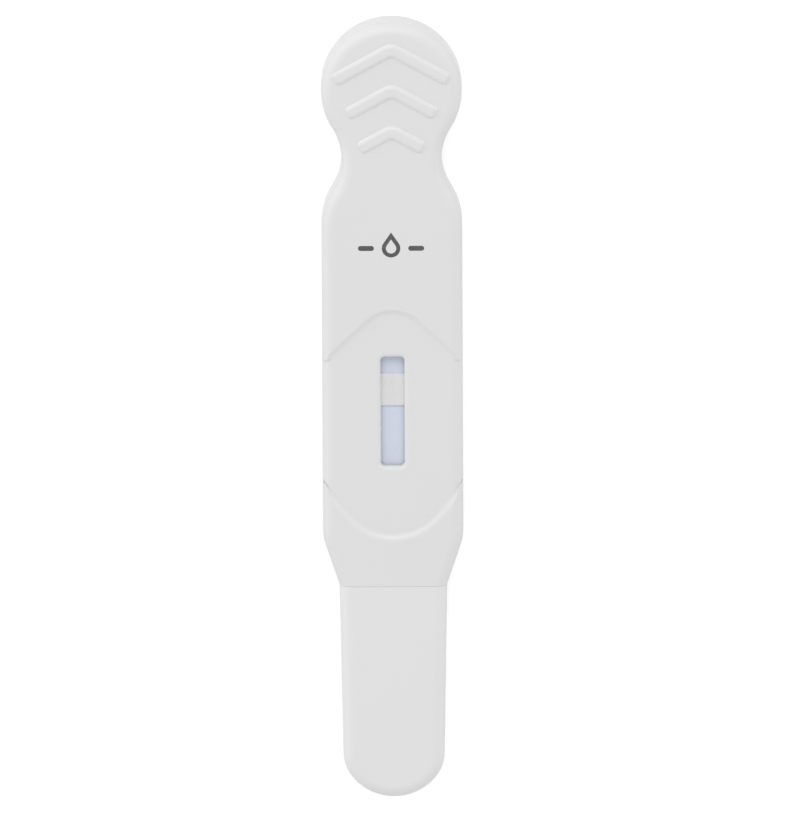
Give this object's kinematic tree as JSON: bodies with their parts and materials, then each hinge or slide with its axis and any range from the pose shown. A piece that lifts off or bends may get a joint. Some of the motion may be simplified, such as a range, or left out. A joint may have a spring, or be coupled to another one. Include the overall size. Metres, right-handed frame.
{
  "type": "lateral flow cassette",
  "caption": "Stick-shaped lateral flow cassette with a ribbed thumb grip, a slot window over its test strip and a pull-off cap over the wick.",
  "frame": {"origin": "under the middle of the stick, on the flat back", "axes": "+Y up the stick to the thumb grip, +X to the right with the window facing up, +Z out of the window"},
  "size_m": [0.0238, 0.134, 0.0082],
  "materials": {
    "shell_plastic": "smooth white moulded plastic with a soft satin sheen",
    "cap_plastic": "smooth white moulded plastic with a soft satin sheen",
    "wick_fibre": "bonded white fibre",
    "card": "plain white card",
    "membrane": "fine pale blue weave",
    "reaction_paper": "matt off-white paper",
    "pad_fibre": "matt white fibre pad"
  },
  "bodies": {
    "housing": {"upper_shell": "shell_plastic", "lower_shell": "shell_plastic", "wick": "wick_fibre", "strip_backing": "card", "transfer_membrane": "membrane", "reaction_pad": "reaction_paper", "absorbent_pad": "pad_fibre", "sample_pad": "pad_fibre"},
    "cap": {"cap": "cap_plastic"}
  },
  "joints": [
    {"name": "cap_slide", "type": "slide", "parent": "housing", "child": "cap", "axis": [0, -1, 0], "range_m": [0, 0.032]}
  ]
}
